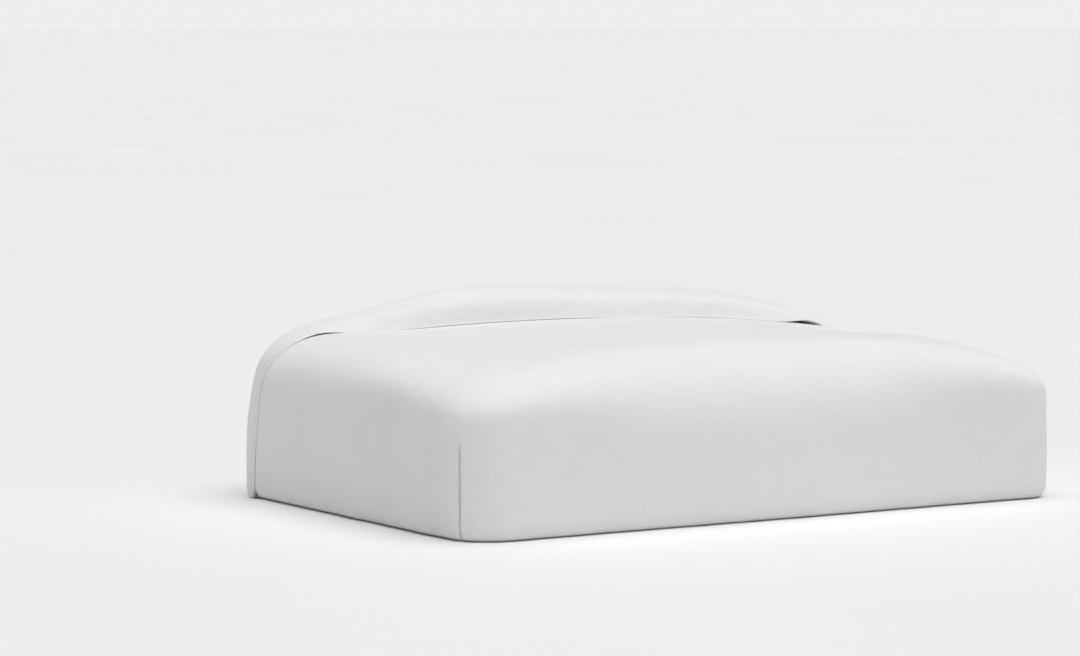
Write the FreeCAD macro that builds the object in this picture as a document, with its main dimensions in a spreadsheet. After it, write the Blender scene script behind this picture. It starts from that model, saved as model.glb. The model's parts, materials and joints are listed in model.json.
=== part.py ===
"""A duvet draped over a bed and turned back at the head: cover, zip, insert shells, baffles and fill.

Frame: +X runs across the bed, to the right seen from the foot; +Y points to the head of the bed; +Z is
up. The origin is under the middle of the duvet, on the plane of its hems. Millimetres.

The duvet lies on a mattress-shaped space with rounded shoulders. Its layers are nested shells, each
between two distances out from that space. At the head the whole stack turns over a soft fold and comes
back on top of itself as a cuff, so the underside panel is outermost there. The hollow inside the fold
is nearly closed where the cuff hangs down the sides, and widest in the middle of the bed.
"""

import FreeCAD, Part
import Sketcher

import math
import os

V = FreeCAD.Vector
doc = FreeCAD.newDocument("duvet")

DIMENSIONS = {
    "half_width": 745,  # side of the mattress space, from the middle
    "foot_face": 484,  # foot of the mattress space, from the middle
    "top_face": 359,  # top of the mattress space, above the hems
    "shoulder": 100,  # its radius along the top edges
    "corner": 110,  # its plan radius at the two foot corners
    "loft": 26,  # thickness of cover and insert together
    "cover_cloth": 0.8,
    "shell_cloth": 0.6,
    "ease": 0.6,  # how far the insert lies inside the cover's panels
    "head_limit": 510,  # the fold's foremost line
    "side_gap": 6,  # hollow inside the fold on the sides
    "crown_gap": 38,  # what it gains towards the middle
    "cuff_hem": 285,
    "cuff_lift": 1.5,  # the cuff's hem stays this far off the top panel
    "hem": 3,  # height of the cover's hem strips
    "insert_edge": 12,  # the insert stops this far inside the cover's edge
    "binding": 3,
    "baffle": 1,
    "last_baffle": 400,  # cross baffle just before the fold
    "zip_length": 1140,
    "zip_height": 45,  # the zip's centre line above the hems
    "zip_slit": 16,
    "placket_width": 20,
    "placket_depth": 2.5,
    "tape_width": 21,
    "tape_cloth": 0.6,
    "coil_gap": 1.6,
    "coil_width": 2.2,
    "coil_depth": 1.8,
    "stop_length": 3,
    "play": 0.35,  # clearance of the slider all round
    "slider_length": 12,
    "slider_width": 9,
    "slider_wall": 1,
    "post_width": 0.9,
    "slider_rest": 560,
    "pin_radius": 0.6,
    "pin_out": 1.7,  # the pin's distance from the slider's face
    "lug_width": 1,
    "tab_length": 26,
    "tab_width": 7,
    "tab_neck": 4,
    "tab_thickness": 1.2,
    "tab_bore": 0.75,
    "ring_radius": 2.8,
    "ring_cord": 0.6,
    "tie_place": 320,  # the cuff's ties along the bed
    "label_place": -300,
    "label_width": 30,
    "label_drop": 42,
}

sheet = doc.addObject("Spreadsheet::Sheet", "dims")
for row, (alias, value) in enumerate(DIMENSIONS.items(), start=1):
    sheet.set(f"A{row}", alias)
    sheet.set(f"B{row}", str(value))
    sheet.setAlias(f"B{row}", alias)
doc.recompute()


def dim(alias):
    return float(sheet.get(alias))


SHOULDER_STEPS = 8  # flats round a shoulder
TOP_STEPS = 4  # flats from a shoulder to the middle
parts = []


def bind(obj, formulas):
    """Bind properties of an object to formulas in the sheet's aliases."""
    for prop, formula in formulas.items():
        obj.setExpression(prop, formula)
    return obj


def keep(obj, node):
    obj.Label = node
    parts.append(obj)
    return obj


def box(name, corner, sizes):
    """A Part::Box from its lowest corner and its sizes, all formulas."""
    places = ("Placement.Base.x", "Placement.Base.y", "Placement.Base.z")
    formulas = dict(zip(places + ("Length", "Width", "Height"), tuple(corner) + tuple(sizes)))
    return bind(doc.addObject("Part::Box", name), formulas)


def combine(kind, name, first, second):
    joined = doc.addObject(f"Part::{kind}", name)
    joined.Base, joined.Tool = first, second
    return joined


def solid(name, shape):
    feature = doc.addObject("Part::Feature", name)
    feature.Shape = shape
    feature.Placement = FreeCAD.Placement()
    return feature


# ---- the nested forms ----


def plan_outline(width, foot, corner, head, height):
    """The space's outline seen from above: square at the head, round at the two foot corners."""
    bend = corner * (1 - math.cos(math.pi / 4))
    left, right = V(-width, head, height), V(width, head, height)
    down_left, along_left = V(-width, corner - foot, height), V(corner - width, -foot, height)
    along_right, up_right = V(width - corner, -foot, height), V(width, corner - foot, height)
    edges = [
        Part.makeLine(left, down_left),
        Part.Arc(down_left, V(bend - width, bend - foot, height), along_left).toShape(),
        Part.makeLine(along_left, along_right),
        Part.Arc(along_right, V(width - bend, bend - foot, height), up_right).toShape(),
        Part.makeLine(up_right, right),
        Part.makeLine(right, left),
    ]
    return Part.Wire(edges)


def form(distance, bottom, head):
    """The mattress space grown by a distance, from a height upward and as far as a head plane."""
    radius = dim("shoulder") + distance
    outlines = []
    for turn in [None] + [step / SHOULDER_STEPS * math.pi / 2 for step in range(SHOULDER_STEPS + 1)]:
        angle = turn or 0.0
        reach = radius * math.cos(angle) - dim("shoulder")
        height = dim("top_face") - dim("shoulder") + radius * math.sin(angle)
        outlines.append(
            plan_outline(
                dim("half_width") + reach,
                dim("foot_face") + reach,
                dim("corner") + reach,
                head,
                bottom if turn is None else height,
            )
        )
    return Part.makeLoft(outlines, True, True)


def main_layer(inner, outer, bottom, head):
    """What lies between two distances from the mattress, open below and at the head."""
    spare = 10
    return form(outer, bottom, head).cut(form(inner, bottom - spare, head + spare))


# ---- the fold and the cuff ----


def stations(bottom):
    """Points round the mattress space's section, left to right: place, outward direction, gap."""
    shoulder, top = dim("shoulder"), dim("top_face")
    shoulder_x, shoulder_z = dim("half_width") - shoulder, top - shoulder
    right = [(V(dim("half_width"), 0, bottom), V(1, 0, 0), dim("side_gap"))]
    for step in range(SHOULDER_STEPS + 1):
        angle = step / SHOULDER_STEPS * math.pi / 2
        out = V(math.cos(angle), 0, math.sin(angle))
        place = V(shoulder_x, 0, shoulder_z) + out * shoulder
        right.append((place, out, dim("side_gap")))
    for step in range(1, TOP_STEPS + 1):
        share = step / TOP_STEPS
        gap = dim("side_gap") + dim("crown_gap") * math.sin(share * math.pi / 2) ** 2
        right.append((V(shoulder_x * (1 - share), 0, top), V(0, 0, 1), gap))
    left = [(V(-place.x, 0, place.z), V(-out.x, 0, out.z), gap) for place, out, gap in right[:-1]]
    return left + right[::-1]


def fold_outline(station, inner, outer, start, hem):
    """One layer's outline at a station: off the mattress, round the turn and back along the cuff."""
    place, out, gap = station
    centre = dim("loft") + gap / 2
    turn_y = dim("head_limit") - centre
    slope = math.atan2(gap - dim("cuff_lift"), turn_y - dim("cuff_hem"))

    def at(away, y):
        return place + out * away + V(0, y, 0)

    def bend(radius):
        """The turn's start, its foremost point, its end and the cuff's hem."""
        end_away, end_y = centre + radius * math.cos(slope), turn_y - radius * math.sin(slope)
        hem_away = end_away - (end_y - hem) * math.tan(slope)
        return (
            at(centre - radius, turn_y),
            at(centre, turn_y + radius),
            at(end_away, end_y),
            at(hem_away, hem),
        )

    near, near_front, near_end, near_hem = bend(centre - outer)
    far, far_front, far_end, far_hem = bend(centre - inner)
    edges = [
        Part.makeLine(at(outer, start), near),
        Part.Arc(near, near_front, near_end).toShape(),
        Part.makeLine(near_end, near_hem),
        Part.makeLine(near_hem, far_hem),
        Part.makeLine(far_hem, far_end),
        Part.Arc(far_end, far_front, far).toShape(),
        Part.makeLine(far, at(inner, start)),
        Part.makeLine(at(inner, start), at(outer, start)),
    ]
    return Part.Wire(edges)


def fold_layer(inner, outer, bottom, start, hem):
    rows = [fold_outline(station, inner, outer, start, hem) for station in stations(bottom)]
    return Part.makeLoft(rows, True, True)


def layer(inner, outer, bottom, hem):
    """One whole layer of the duvet, from the hems and the foot to the cuff's hem."""
    start = dim("last_baffle")
    draped = main_layer(inner, outer, bottom, start)
    return draped.fuse(fold_layer(inner, outer, bottom, start, hem)).removeSplitter()


cover, shell = dim("cover_cloth"), dim("shell_cloth")
loft, hem, edge, binding = dim("loft"), dim("hem"), dim("insert_edge"), dim("binding")
cuff_hem = dim("cuff_hem")
insert_inner, insert_outer = cover + dim("ease"), loft - cover - dim("ease")
fill_inner, fill_outer = insert_inner + shell, insert_outer - shell

# ---- the cover: two panels and the hems that join them ----

cover_top = solid("top_panel", layer(loft - cover, loft, hem, cuff_hem + hem))
keep(cover_top, "cover_top_panel")

zip_slit = box(
    "slit",
    ("-dims.zip_length / 2", "-dims.foot_face - dims.loft / 2", "dims.zip_height - dims.zip_slit / 2"),
    ("dims.zip_length", "dims.loft", "dims.zip_slit"),
)
whole_underside = solid("whole_underside", layer(0, cover, hem, cuff_hem + hem))
keep(combine("Cut", "underside_panel", whole_underside, zip_slit), "cover_underside_panel")

wide = 2 * dim("half_width")
corner_y = dim("corner") - dim("foot_face")  # the foot's strips meet the sides' here


def rims(low, height):
    """Slabs that cut the left, right and foot edge strips out of a whole layer, by side."""
    return {
        "left": Part.makeBox(wide, wide, height, V(-wide, corner_y, low)),
        "right": Part.makeBox(wide, wide, height, V(0, corner_y, low)),
        "foot": Part.makeBox(2 * wide, wide, height, V(-wide, corner_y - wide, low)),
    }


def cuff_strip(inner, outer, bottom, end, depth):
    """The edge strip along the cuff's end."""
    slab = Part.makeBox(2 * wide, depth, wide, V(-wide, end, bottom))
    return fold_layer(inner, outer, bottom, dim("last_baffle"), end).common(slab)


whole_cover = layer(0, loft, 0, cuff_hem)
for side, rim in rims(0, hem).items():
    keep(solid(f"{side}_hem", whole_cover.common(rim)), f"cover_hem_{side}")
keep(solid("cuff_strip", cuff_strip(0, loft, hem, cuff_hem, hem)), "cover_hem_cuff")

# ---- the insert: two shells and the bindings round their edges ----

shell_edge, shell_end = edge + binding, cuff_hem + edge + binding
keep(solid("top_shell", layer(fill_outer, insert_outer, shell_edge, shell_end)), "insert_top_shell")
keep(solid("bottom_shell", layer(insert_inner, fill_inner, shell_edge, shell_end)), "insert_bottom_shell")

whole_insert = layer(insert_inner, insert_outer, edge, cuff_hem + edge)
for side, rim in rims(edge, binding).items():
    keep(solid(f"{side}_binding", whole_insert.common(rim)), f"insert_binding_{side}")
cuff_binding = cuff_strip(insert_inner, insert_outer, shell_edge, cuff_hem + edge, binding)
keep(solid("cuff_binding", cuff_binding), "insert_binding_cuff")

# ---- baffle walls and the fill between them ----

main_fill = solid("main_fill", main_layer(fill_inner, fill_outer, shell_edge, dim("last_baffle")))
fold_fill = solid(
    "fold_fill", fold_layer(fill_inner, fill_outer, shell_edge, dim("last_baffle"), shell_end)
)
all_fill = solid("all_fill", layer(fill_inner, fill_outer, shell_edge, shell_end))

top_edge = "(dims.half_width - dims.shoulder)"
beyond = "(dims.half_width + 2 * dims.loft + dims.crown_gap)"
tall = "dims.top_face + 4 * dims.loft"
LINES = [f"{top_edge} * {place} / 2" for place in (-2, -1, 0, 1, 2)]  # lengthwise walls' middles
CROSSINGS = {  # the side nearest the head of each crosswise wall
    "foot": "(dims.shoulder - dims.foot_face)",
    "middle": "((dims.last_baffle + dims.shoulder - dims.foot_face) / 2)",
    "head": "dims.last_baffle",
}
COLUMNS = ("left", "mid_left", "inner_left", "inner_right", "mid_right", "right")
ROWS = ("foot", "lower", "upper")


def cell(name, column, back, front):
    """The room between two lengthwise walls, from one place along the bed to another."""
    low = f"({LINES[column - 1]} + dims.baffle / 2)" if column else f"(-{beyond})"
    high = f"({LINES[column]} - dims.baffle / 2)" if column < len(LINES) else beyond
    return box(name, (low, back, "0"), (f"{high} - {low}", f"{front} - ({back})", tall))


for number, line in enumerate(LINES, start=1):
    slab = box(
        f"slab_{number}",
        (f"{line} - dims.baffle / 2", "-dims.foot_face - dims.loft", "0"),
        ("dims.baffle", "dims.foot_face + dims.head_limit + dims.loft", tall),
    )
    keep(combine("Common", f"wall_{number}", all_fill, slab), f"baffle_lengthwise_{number}")

for place, crossing in CROSSINGS.items():
    slabs = doc.addObject("Part::Compound", f"slabs_{place}")
    slabs.Links = [
        cell(f"{place}_slab_{column}", column, f"{crossing} - dims.baffle", crossing)
        for column in range(len(COLUMNS))
    ]
    keep(combine("Common", f"{place}_wall", main_fill, slabs), f"baffle_crosswise_{place}")

row_ends = ["(-dims.foot_face - 2 * dims.loft)"] + list(CROSSINGS.values())
for column, side in enumerate(COLUMNS):
    for row, place in enumerate(ROWS):
        room = cell(f"{place}_{side}", column, row_ends[row], f"{row_ends[row + 1]} - dims.baffle")
        keep(combine("Common", f"{place}_{side}_fill", main_fill, room), f"fill_{place}_{side}")
    room = cell(f"cuff_{side}", column, "0", "dims.head_limit + dims.loft")
    keep(combine("Common", f"cuff_{side}_fill", fold_fill, room), f"fill_cuff_{side}")

# ---- the zip, on the inner face of the foot drop ----

panel_face = "-dims.foot_face"
tape_face = f"({panel_face} + dims.placket_depth)"
chain_y = f"({tape_face} + dims.tape_cloth / 2)"
zip_end = "dims.zip_length / 2"
chain_half = "(dims.coil_gap / 2 + dims.coil_width)"


def zip_strip(name, start, depth, near, width, above):
    """A strip as long as the zip, a distance above or below its centre line."""
    low = f"dims.zip_height + {near}" if above else f"dims.zip_height - {near} - {width}"
    return box(name, (f"-{zip_end}", start, low), ("dims.zip_length", depth, width))


coil_start = f"{chain_y} - dims.coil_depth / 2"
for side, above in (("upper", True), ("lower", False)):
    strips = {
        "placket": (panel_face, "dims.placket_depth", "dims.zip_slit / 2", "dims.placket_width"),
        "tape": (tape_face, "dims.tape_cloth", chain_half, "dims.tape_width"),
        "coil": (coil_start, "dims.coil_depth", "dims.coil_gap / 2", "dims.coil_width"),
    }
    for strip, (start, depth, near, width) in strips.items():
        piece = zip_strip(f"{side}_{strip}", start, depth, near, width, above)
        keep(piece, f"zip_{strip}_{side}")

stops = doc.addObject("Part::Compound", "stops")
stops.Links = [
    box(
        f"stop_{end}",
        (x_from, coil_start, f"dims.zip_height - {chain_half}"),
        ("dims.stop_length", "dims.coil_depth", f"2 * {chain_half}"),
    )
    for end, x_from in (("left", f"-{zip_end} - dims.stop_length"), ("right", zip_end))
]
keep(stops, "zip_end_stops")

# ---- the slider, which wraps both coils, and the pull tab on its pin ----


def centred(name, long, deep, high):
    """A box centred on the zip's line where the slider rests."""
    corner = (
        f"dims.slider_rest - {long} / 2",
        f"{chain_y} - {deep} / 2",
        f"dims.zip_height - {high} / 2",
    )
    return box(name, corner, (long, deep, high))


cavity_deep = "(dims.coil_depth + 2 * dims.play)"
cavity_high = f"(2 * {chain_half} + 2 * dims.play)"
slider_deep = f"({cavity_deep} + 2 * dims.slider_wall)"
slider_face = f"({chain_y} + {slider_deep} / 2)"
through = "(2 * dims.slider_length)"
block = centred("slider_block", "dims.slider_length", slider_deep, "dims.slider_width")
cavity = centred("slider_cavity", through, cavity_deep, cavity_high)
tape_slot = centred("slider_slot", through, "(dims.tape_cloth + 2 * dims.play)", through)
post = centred("slider_post", "(dims.slider_length / 2)", cavity_deep, "dims.post_width")
hollow = combine("Cut", "slider_hollow", combine("Cut", "slider_shell", block, cavity), tape_slot)

lug_room = "(dims.tab_neck + 2 * dims.play)"
lug_sizes = ("2 * dims.pin_out", "2 * dims.pin_out", "dims.lug_width")
lugs = [
    box(name, ("dims.slider_rest - dims.pin_out", slider_face, f"dims.zip_height {low}"), lug_sizes)
    for name, low in (
        ("upper_lug", f"+ {lug_room} / 2"),
        ("lower_lug", f"- {lug_room} / 2 - dims.lug_width"),
    )
]
pin_length = f"({lug_room} + 2 * dims.lug_width)"
pin = bind(
    doc.addObject("Part::Cylinder", "slider_pin"),
    {
        "Radius": "dims.pin_radius",
        "Height": pin_length,
        "Placement.Base.x": "dims.slider_rest",
        "Placement.Base.y": f"{slider_face} + dims.pin_out",
        "Placement.Base.z": f"dims.zip_height - {pin_length} / 2",
    },
)
slider = doc.addObject("Part::MultiFuse", "slider")
slider.Shapes = [hollow, post, pin] + lugs
keep(slider, "zip_slider")


def strip_sketch(body, name, start, end, thickness):
    """A rectangle along a body's X axis, centred on it, as a sketch bound to the sheet."""
    plane = [item for item in body.Origin.OriginFeatures if item.Role == "XY_Plane"][0]
    sketch = body.newObject("Sketcher::SketchObject", name)
    sketch.AttachmentSupport, sketch.MapMode = (plane, ""), "FlatFace"
    corners = [V(1, -1, 0), V(9, -1, 0), V(9, 1, 0), V(1, 1, 0)]
    for index in range(4):
        sketch.addGeometry(Part.LineSegment(corners[index], corners[(index + 1) % 4]), False)
    for index in range(4):
        sketch.addConstraint(Sketcher.Constraint("Coincident", index, 2, (index + 1) % 4, 1))
    for kind, line in (("Horizontal", 0), ("Vertical", 1), ("Horizontal", 2)):
        sketch.addConstraint(Sketcher.Constraint(kind, line))
    sketch.addConstraint(Sketcher.Constraint("Symmetric", 3, 1, 3, 2, -1))
    for label, constraint, formula in (
        ("start", Sketcher.Constraint("DistanceX", -1, 1, 0, 1, 1), start),
        ("end", Sketcher.Constraint("DistanceX", -1, 1, 0, 2, 9), end),
        ("thickness", Sketcher.Constraint("DistanceY", 1, 1, 1, 2, 2), thickness),
    ):
        sketch.renameConstraint(sketch.addConstraint(constraint), label)
        sketch.setExpression(f"Constraints.{label}", formula)
    return sketch


def round_sketch(body, name, radius):
    """A circle round a body's origin, as a sketch bound to the sheet."""
    plane = [item for item in body.Origin.OriginFeatures if item.Role == "XY_Plane"][0]
    sketch = body.newObject("Sketcher::SketchObject", name)
    sketch.AttachmentSupport, sketch.MapMode = (plane, ""), "FlatFace"
    sketch.addGeometry(Part.Circle(V(0, 0, 0), V(0, 0, 1), 1), False)
    sketch.addConstraint(Sketcher.Constraint("Coincident", 0, 3, -1, 1))
    index = sketch.addConstraint(Sketcher.Constraint("Radius", 0, 1))
    sketch.renameConstraint(index, "radius")
    sketch.setExpression("Constraints.radius", radius)
    return sketch


def feature(body, kind, name, profile, length):
    made = body.newObject(f"PartDesign::{kind}", name)
    made.Profile, made.Midplane = profile, True
    return bind(made, {"Length": length})


barrel = "(dims.pin_out - dims.play)"
wide_part = "(2 * dims.pin_out)"
tab = doc.addObject("PartDesign::Body", "tab")
feature(tab, "Pad", "barrel", round_sketch(tab, "barrel_outline", barrel), "dims.tab_neck")
neck = strip_sketch(tab, "neck_outline", "dims.tab_bore", f"{wide_part} + 1", "dims.tab_thickness")
feature(tab, "Pad", "neck", neck, "dims.tab_neck")
grip = strip_sketch(tab, "grip_outline", wide_part, "dims.tab_length", "dims.tab_thickness")
feature(tab, "Pad", "grip", grip, "dims.tab_width")
feature(tab, "Pocket", "bore", round_sketch(tab, "bore_outline", "dims.tab_bore"), "dims.tab_width")
tab.Placement = FreeCAD.Placement(V(0, 0, 0), FreeCAD.Rotation(V(0, 0, 1), 180))
bind(
    tab,
    {
        "Placement.Base.x": "dims.slider_rest",
        "Placement.Base.y": f"{slider_face} + dims.pin_out",
        "Placement.Base.z": "dims.zip_height",
    },
)
keep(tab, "zip_pull_tab")

# ---- corner ties: a ring of tape on the cover through a ring on the insert ----

corner_reach = "(dims.corner + dims.loft / 2) * sqrt(0.5)"
tie_places = {  # distance from the middle, place along the bed
    "foot": (
        f"dims.half_width - dims.corner + {corner_reach}",
        f"dims.corner - dims.foot_face - {corner_reach}",
    ),
    "cuff": (
        "dims.half_width + 1.5 * dims.loft + (dims.side_gap + dims.cuff_lift) / 2",
        "dims.tie_place",
    ),
}
ring_kinds = {
    "corner_ties": (V(1, 0, 0), "dims.hem + dims.ring_radius + dims.ring_cord / 2"),
    "insert_rings": (V(0, 1, 0), "dims.insert_edge - dims.ring_radius - dims.ring_cord / 2"),
}
for node, (lean, height) in ring_kinds.items():
    rings = []
    for place, (out, along) in tie_places.items():
        for side, sign in (("left", "-"), ("right", "")):
            ring = doc.addObject("Part::Torus", f"{node}_{place}_{side}")
            ring.Placement = FreeCAD.Placement(V(0, 0, 0), FreeCAD.Rotation(lean, 90))
            bind(
                ring,
                {
                    "Radius1": "dims.ring_radius",
                    "Radius2": "dims.ring_cord",
                    "Placement.Base.x": f"{sign}({out})",
                    "Placement.Base.y": along,
                    "Placement.Base.z": height,
                },
            )
            rings.append(ring)
    group = doc.addObject("Part::Compound", node)
    group.Links = rings
    keep(group, node)

label = box(
    "label",
    ("-dims.half_width", "dims.label_place", "dims.hem"),
    ("dims.tape_cloth", "dims.label_width", "dims.label_drop"),
)
keep(label, "care_label")

# ---- check and write ----

doc.recompute()
for item in doc.Objects:
    if "Invalid" in item.State or "Error" in item.State:
        raise RuntimeError(f"{item.Name} failed: {item.State}")
os.makedirs("parts", exist_ok=True)
for part in parts:
    if part.Shape.isNull() or not part.Shape.isValid() or not part.Shape.Solids:
        raise RuntimeError(f"{part.Label} has no valid solid")
    part.Shape.exportStep(f"parts/{part.Label}.step")
    print(f"{part.Label}: {len(part.Shape.Solids)} solids, {part.Shape.Volume / 1000:.1f} cm3")
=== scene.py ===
"""Looks for the draped duvet: cotton cover over a padded insert, hidden zip, soft light, pale floor.

Metres, in the part's frame: +X across the bed, +Y to its head, +Z up, hems on the plane z = 0.
The cover is made as one sheet through the middle of its loft. The sheet is laid out in patches: the
top, the rim that falls over the sides, corners and foot, and the fold at the head end. Its two panels
are that sheet moved out and in by half the loft, which thins to a seam at every hem.
"""

import json
import math

import bpy
import numpy as np
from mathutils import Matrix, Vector


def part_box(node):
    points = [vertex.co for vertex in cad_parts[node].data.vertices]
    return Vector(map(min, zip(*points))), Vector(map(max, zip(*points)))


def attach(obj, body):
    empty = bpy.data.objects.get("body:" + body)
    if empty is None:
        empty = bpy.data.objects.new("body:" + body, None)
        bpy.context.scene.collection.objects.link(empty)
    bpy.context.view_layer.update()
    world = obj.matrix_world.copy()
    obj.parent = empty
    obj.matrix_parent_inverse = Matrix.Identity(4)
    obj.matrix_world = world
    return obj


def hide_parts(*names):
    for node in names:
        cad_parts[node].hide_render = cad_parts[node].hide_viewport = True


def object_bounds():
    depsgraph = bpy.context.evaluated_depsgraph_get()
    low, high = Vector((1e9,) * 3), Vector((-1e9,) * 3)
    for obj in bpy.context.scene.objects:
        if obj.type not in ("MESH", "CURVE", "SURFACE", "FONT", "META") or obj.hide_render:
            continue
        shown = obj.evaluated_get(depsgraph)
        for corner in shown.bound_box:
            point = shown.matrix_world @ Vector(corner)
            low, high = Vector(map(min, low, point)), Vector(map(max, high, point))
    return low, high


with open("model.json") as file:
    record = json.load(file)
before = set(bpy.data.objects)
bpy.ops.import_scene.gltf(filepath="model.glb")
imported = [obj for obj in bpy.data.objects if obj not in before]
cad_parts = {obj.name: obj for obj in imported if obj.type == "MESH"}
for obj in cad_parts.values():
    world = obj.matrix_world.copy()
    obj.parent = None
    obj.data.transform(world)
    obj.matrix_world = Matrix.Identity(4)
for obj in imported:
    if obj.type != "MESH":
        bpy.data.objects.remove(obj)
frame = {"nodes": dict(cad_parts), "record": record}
cad_box = [list(corner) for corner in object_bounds()]

# ---- camera ----

LENS_MM = 130.08
CAMERA_AT = Vector((-4.991, -7.525, 1.104))
CAMERA_TURN = math.radians(32.01)  # from the bed's length towards its right side
CAMERA_TILT = math.radians(4.483)  # downward


def add_camera():
    data = bpy.data.cameras.new("camera")
    data.lens = LENS_MM
    data.sensor_width = 36
    data.clip_end = 1500
    camera = bpy.data.objects.new("camera", data)
    camera.location = CAMERA_AT
    camera.rotation_euler = (math.pi / 2 - CAMERA_TILT, 0, -CAMERA_TURN)
    bpy.context.scene.collection.objects.link(camera)
    bpy.context.scene.camera = camera


add_camera()

# ---- driving sizes, from the frame ----

FOOT_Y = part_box("cover_hem_foot")[0].y
PANEL_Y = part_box("zip_placket_upper")[0].y
HEAD_Y = cad_box[1][1]
MATTRESS_Z = frame["record"]["mounts"][0]["pos_m"][2]
LOFT = PANEL_Y - FOOT_Y

# ---- the sheet's shape ----

LEFT, RIGHT = -1, 1
SIDE = {LEFT: 0.769, RIGHT: 0.802}  # middle of the loft on the drops, from the bed's middle
FOOT = -FOOT_Y - LOFT / 2
REACH = 0.185  # plan depth of the soft shoulders
CORNER_RADIUS = {LEFT: 0.105, RIGHT: 0.054}
CROWN_RISE = 0.006  # of the plump top over the CAD's flat one
CROWN_Z = MATTRESS_Z + LOFT / 2 + CROWN_RISE
CROWN_BEND = 0.050  # how fast the top falls away from the middle, per metre
FOLD_START = 0.20  # where the top patch ends and the fold patch begins
SEAM = 0.0025  # thickness at a hem
CUFF_SEAM = 0.0006  # the same at the cuff's hem
HEM_CLEAR = 0.0003  # lowest point over the plane z = 0
HEM_ROUND = 0.034  # height over which a drop thins to its hem
CUFF_ROUND = 0.050  # length over which the cuff thins to its hem

TOP_COLUMNS = 190
TOP_ROWS = 46
SHOULDER_STEPS = 17
DROP_STEPS = 14
HEM_STEPS = 8
CORNER_STEPS = 14
FRONT_STEPS, TUCK_STEPS, BACK_STEPS = 9, 8, 4
LOWER_STEPS = FRONT_STEPS + TUCK_STEPS + BACK_STEPS
TURN_STEPS = 16
CUFF_STEPS = 34
CUFF_HEM_STEPS = 8

SLIT_TOP = 0.214  # the slit at each foot corner, where the side and foot drops meet
SLIT_WIDTH = 0.0022
SLIT_DEPTH = 0.014
SLIT_ANGLE = math.radians(27)
SLIT_LINES = [0.00035, 0.0009, 0.0018, 0.0036, 0.0065]  # mesh lines each side of the slit


def smooth(value, low=0.0, high=1.0):
    """0 below low, 1 above high, and a soft step between."""
    share = np.clip((np.asarray(value, float) - low) / (high - low), 0, 1)
    return share * share * (3 - 2 * share)


def mound(value, middle, width):
    """A soft bump of height 1."""
    return np.exp(-(((np.asarray(value, float) - middle) / width) ** 2))


def mix(low, high, share):
    return low + (high - low) * share


def through(points, at):
    """A smooth curve through points (place, height), read at the places given."""
    places, heights = np.array(points, float).T
    slopes = np.gradient(heights, places)
    at = np.clip(at, places[0], places[-1])
    span = np.clip(np.searchsorted(places, at) - 1, 0, len(places) - 2)
    width = places[span + 1] - places[span]
    share = (at - places[span]) / width
    rise = smooth(share)
    ease_out = share * (1 - share) ** 2 * width * slopes[span]
    ease_in = share**2 * (1 - share) * width * slopes[span + 1]
    return mix(heights[span], heights[span + 1], rise) + ease_out - ease_in


def crown(x, y):
    """Height of the middle of the loft over the mattress, before the shoulders fall."""
    swell = CROWN_Z - CROWN_BEND * x**2
    dip = 0.025 * mound(x, 0.66, 0.16) * mound(y, 0.07, 0.12)  # pressed down beside the cuff
    slump = 0.030 * mound(x, -0.80, 0.25) * mound(y, -0.52, 0.25)  # towards each foot corner
    slump += 0.045 * mound(x, 0.82, 0.26) * mound(y, -0.52, 0.26)
    swell += 0.006 * mound(x, -0.10, 0.50) * smooth(y, -0.15, 0.25)
    swell += 0.013 * mound(x, -0.67, 0.14) * mound(y, 0.24, 0.18)  # held up under the cuff
    roll = 0.0014 * np.sin(7.3 * x + 1.1) * np.cos(6.1 * y + 0.4)
    return swell - dip - slump + roll


shoulder_turn = np.linspace(0, math.pi / 2, SHOULDER_STEPS + 1)
HEM_SHARE = 0.86  # of a drop's length, where the finer steps of its hem begin
drop_shares = np.concatenate(
    [
        np.linspace(0, HEM_SHARE, DROP_STEPS + 1)[1:],
        mix(HEM_SHARE, 1, np.sin(np.linspace(0, math.pi / 2, HEM_STEPS + 1)[1:])),
    ]
)


def rim_line(x_at, y_at, fall, power):
    """A line from the top's edge over the shoulder and down to the hem.

    x_at and y_at give the plan place for a share of the shoulder's reach. Fall is the shoulder's
    height, and power how square it is: 2 is an ellipse.
    """
    outward = np.sin(shoulder_turn) ** (2 / power)
    x, y = x_at(outward), y_at(outward)
    z = crown(x, y) - fall * (1 - np.abs(np.cos(shoulder_turn)) ** (2 / power))
    down = mix(z[-1], SEAM / 2, drop_shares)
    x = np.concatenate([x, np.full(len(down), x[-1])])
    y = np.concatenate([y, np.full(len(down), y[-1])])
    return np.stack([x, y, np.concatenate([z, down])], axis=1)


def side_x(side, share):
    return side * (SIDE[side] - REACH * (1 - share))


def foot_y(share):
    return -(FOOT - REACH * (1 - share))


# How each shoulder falls from the fold round to the other fold: (height, squareness).
FALL_FOLD = {LEFT: (0.115, 2.7), RIGHT: (0.150, 2.3)}
FALL_SIDE = {LEFT: (0.090, 2.9), RIGHT: (0.140, 2.4)}
FALL_CORNER = {LEFT: (0.080, 2.5), RIGHT: (0.076, 3.2)}
FALL_FOOT = (0.195, 2.2)


def between(first, second, share):
    """A fall part way from one to another."""
    share = smooth(share)
    return mix(first[0], second[0], share), mix(first[1], second[1], share)


def side_line(side, along):
    """Along goes from 0 at the fold to 1 at the foot corner."""
    if along < 0.5:
        fall = between(FALL_FOLD[side], FALL_SIDE[side], along / 0.5)
    else:
        fall = between(FALL_SIDE[side], FALL_CORNER[side], (along - 0.5) / 0.5)
    return rim_line(
        lambda share: side_x(side, share),
        lambda share: mix(FOLD_START, foot_y(share) + CORNER_RADIUS[side] * share, along),
        *fall,
    )


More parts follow.
